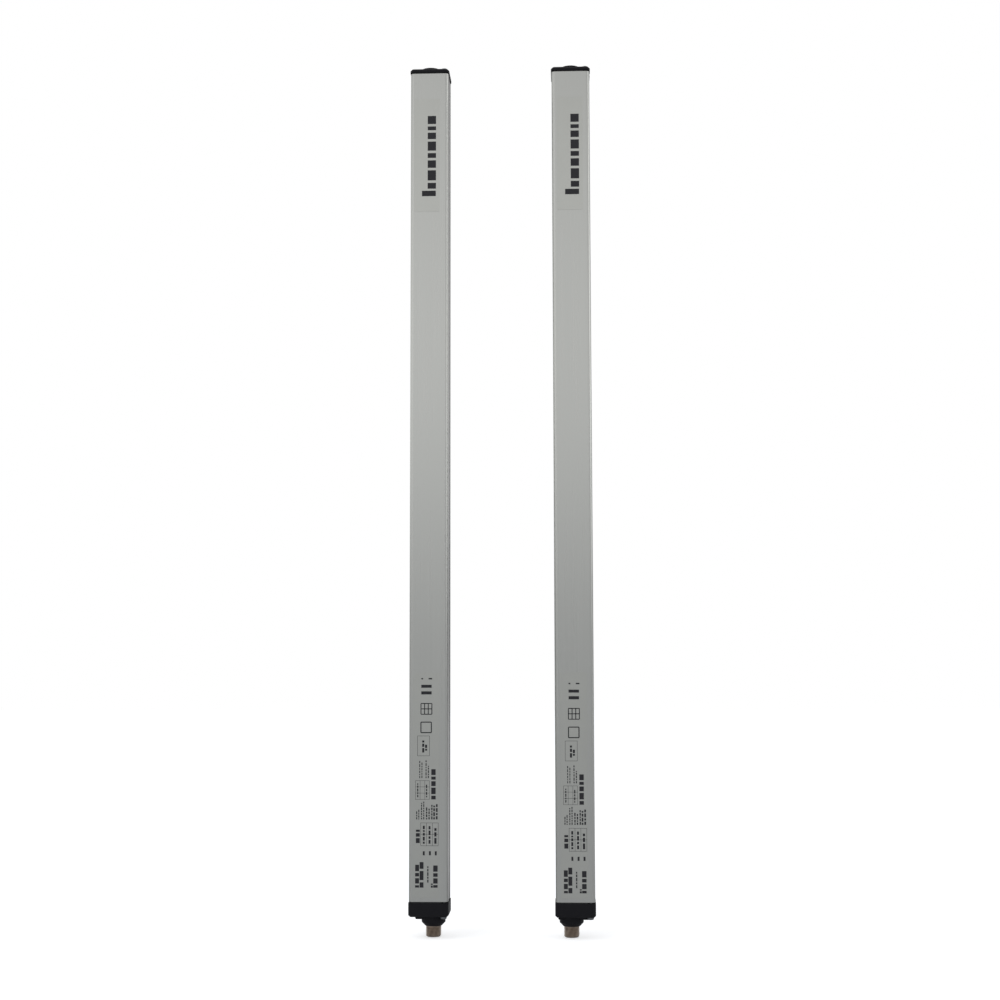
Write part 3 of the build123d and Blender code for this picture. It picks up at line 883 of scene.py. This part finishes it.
def make_world(studio):
    """White background, and a grey studio in front of the pair that is brighter above eye level.

    The studio's brightness in a direction is that of its side, times a gain that falls from left to right,
    times two gains for how far the direction rises: the upper gain from eye level on, and the overhead gain
    high up. Below eye level its light is a bit cooler.
    """
    world = bpy.data.worlds.new("studio")
    bpy.context.scene.world = world
    world.use_nodes = True
    tree = world.node_tree
    tree.nodes.clear()
    place = add_node(tree, "ShaderNodeTexCoord", {})
    axes = add_node(tree, "ShaderNodeSeparateXYZ", {}, {"Vector": place.outputs["Generated"]})
    depth, rise = axes.outputs["Y"], axes.outputs["Z"]
    around = ramp(tree, depth, FRONT_TO_SIDE, (studio.front_level, studio.side_level))
    across = ramp(tree, axes.outputs["X"], LEFT_TO_RIGHT, (studio.left_gain, studio.right_gain))
    upward = ramp(tree, rise, EYE_LEVEL, (1.0, studio.upper_gain))
    overhead = ramp(tree, rise, OVERHEAD, (1.0, studio.overhead_gain))
    sides = combined(tree, "MULTIPLY", around, across)
    studio_light = combined(tree, "MULTIPLY", sides, combined(tree, "MULTIPLY", upward, overhead))
    white = background_rays(tree, depth, SIDE_TO_BACKGROUND, studio.mirrored_share)
    strength = add_node(tree, "ShaderNodeMix", {"data_type": "FLOAT", 3: 1.0}, {0: white, 2: studio_light})
    neutral = combined(tree, "MAXIMUM", white, ramp(tree, rise, EYE_LEVEL))
    settings = {"data_type": "RGBA", 6: (*studio.low_light, 1), 7: (1, 1, 1, 1)}
    tone = add_node(tree, "ShaderNodeMix", settings, {0: neutral})
    links = {"Color": tone.outputs[2], "Strength": strength.outputs[0]}
    sky = add_node(tree, "ShaderNodeBackground", {}, links)
    add_node(tree, "ShaderNodeOutputWorld", {}, {"Surface": sky.outputs[0]})


def make_lamp(name, place, size, power):
    """A large soft lamp that faces the middle of the pair."""
    data = bpy.data.lights.new(name, "AREA")
    data.shape = "RECTANGLE"
    data.size, data.size_y = size
    data.energy = power
    lamp = bpy.data.objects.new(name, data)
    bpy.context.scene.collection.objects.link(lamp)
    away = np.array(place) / np.linalg.norm(place)
    turn = math.atan2(away[0], -away[1])
    rise = math.asin(away[2])
    rotation = Matrix.Rotation(turn, 4, "Z") @ Matrix.Rotation(math.pi / 2 - rise, 4, "X")
    lamp.matrix_world = Matrix.Translation(place) @ rotation


def make_camera(studio):
    """The camera at the photograph's place: turned by yaw about the upright axis, then raised and rolled."""
    data = bpy.data.cameras.new("camera")
    data.sensor_width = 36.0
    data.lens = studio.lens
    data.clip_start = 0.01
    camera = bpy.data.objects.new("camera", data)
    bpy.context.scene.collection.objects.link(camera)
    turn = Matrix.Rotation(studio.yaw, 4, "Z") @ Matrix.Rotation(math.pi / 2 + studio.pitch, 4, "X")
    place = Matrix.Translation((studio.eye_x, studio.eye_y, studio.eye_z))
    camera.matrix_world = place @ turn @ Matrix.Rotation(studio.roll, 4, "Z")
    bpy.context.scene.camera = camera


class CURTAIN_OT_finishes(bpy.types.Operator):
    """Give every CAD node the finish of its slot"""

    bl_idname = "curtain.finishes"
    bl_label = "Finish the housings"

    def execute(self, context):
        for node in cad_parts.values():
            for slot in node.material_slots:
                slot.material = finish_for(slot.material.name.split(".")[0])
        return {"FINISHED"}


class CURTAIN_OT_films(bpy.types.Operator):
    """Make the silver films and their print on the broad side of both bars"""

    bl_idname = "curtain.films"
    bl_label = "Make films"

    def execute(self, context):
        make_films()
        return {"FINISHED"}


class CURTAIN_OT_connectors(bpy.types.Operator):
    """Make the threaded shells and the round pins of both connectors"""

    bl_idname = "curtain.connectors"
    bl_label = "Make connectors"

    def execute(self, context):
        sizes = context.scene.curtain_metal
        for bar in BARS:
            shell, pins = f"{bar}_connector_shell", f"{bar}_connector_pins"
            metal, gold = finish_for("connector_nickel"), finish_for("contact_gold")
            make_piece(f"{bar}_threaded_shell", shell_shape(bar, sizes), metal, [shell])
            make_piece(f"{bar}_round_pins", pins_shape(bar, sizes), gold, [pins])
        return {"FINISHED"}


class CURTAIN_OT_screws(bpy.types.Operator):
    """Make the pan head screws of all four caps"""

    bl_idname = "curtain.screws"
    bl_label = "Make screws"

    def execute(self, context):
        sizes = context.scene.curtain_metal
        for bar in BARS:
            shape, steel = screws_shape(bar, sizes), finish_for("screw_steel")
            make_piece(f"{bar}_pan_screws", shape, steel, [f"{bar}_cap_screws"])
        return {"FINISHED"}


class CURTAIN_OT_stage(bpy.types.Operator):
    """Make the floor, the surroundings, the lamps and the camera"""

    bl_idname = "curtain.stage"
    bl_label = "Make stage"

    def execute(self, context):
        studio = context.scene.curtain_studio
        make_stage(studio)
        make_world(studio)
        make_lamp("key_lamp", KEY_PLACE, KEY_SIZE, studio.key_power)
        make_lamp("fill_lamp", FILL_PLACE, FILL_SIZE, studio.fill_power)
        make_camera(studio)
        context.scene.view_settings.view_transform = "Standard"
        return {"FINISHED"}


class CURTAIN_PT_sidebar(bpy.types.Panel):
    """The steps that dress the pair, in order"""

    bl_label = "Light curtain"
    bl_space_type = "VIEW_3D"
    bl_region_type = "UI"
    bl_category = "Light curtain"

    def draw(self, context):
        for operator in OPERATORS:
            self.layout.operator(operator.bl_idname)


GROUPS = {
    "curtain_films": FilmSizes,
    "curtain_metal": MetalSizes,
    "curtain_colours": FinishColours,
    "curtain_studio": StudioSettings,
}
OPERATORS = (
    CURTAIN_OT_finishes,
    CURTAIN_OT_films,
    CURTAIN_OT_connectors,
    CURTAIN_OT_screws,
    CURTAIN_OT_stage,
)


def register():
    """Registers the settings, the steps and the panel."""
    for group in (*GROUPS.values(), *OPERATORS, CURTAIN_PT_sidebar):
        bpy.utils.register_class(group)
    for name, group in GROUPS.items():
        setattr(bpy.types.Scene, name, bpy.props.PointerProperty(type=group))


def unregister():
    """Removes them again."""
    for name in GROUPS:
        delattr(bpy.types.Scene, name)
    for group in (CURTAIN_PT_sidebar, *reversed(OPERATORS), *GROUPS.values()):
        bpy.utils.unregister_class(group)


def main():
    """Dresses the pair."""
    register()
    bpy.ops.curtain.finishes()
    bpy.ops.curtain.films()
    bpy.ops.curtain.connectors()
    bpy.ops.curtain.screws()
    bpy.ops.curtain.stage()


if __name__ == "__main__":
    main()
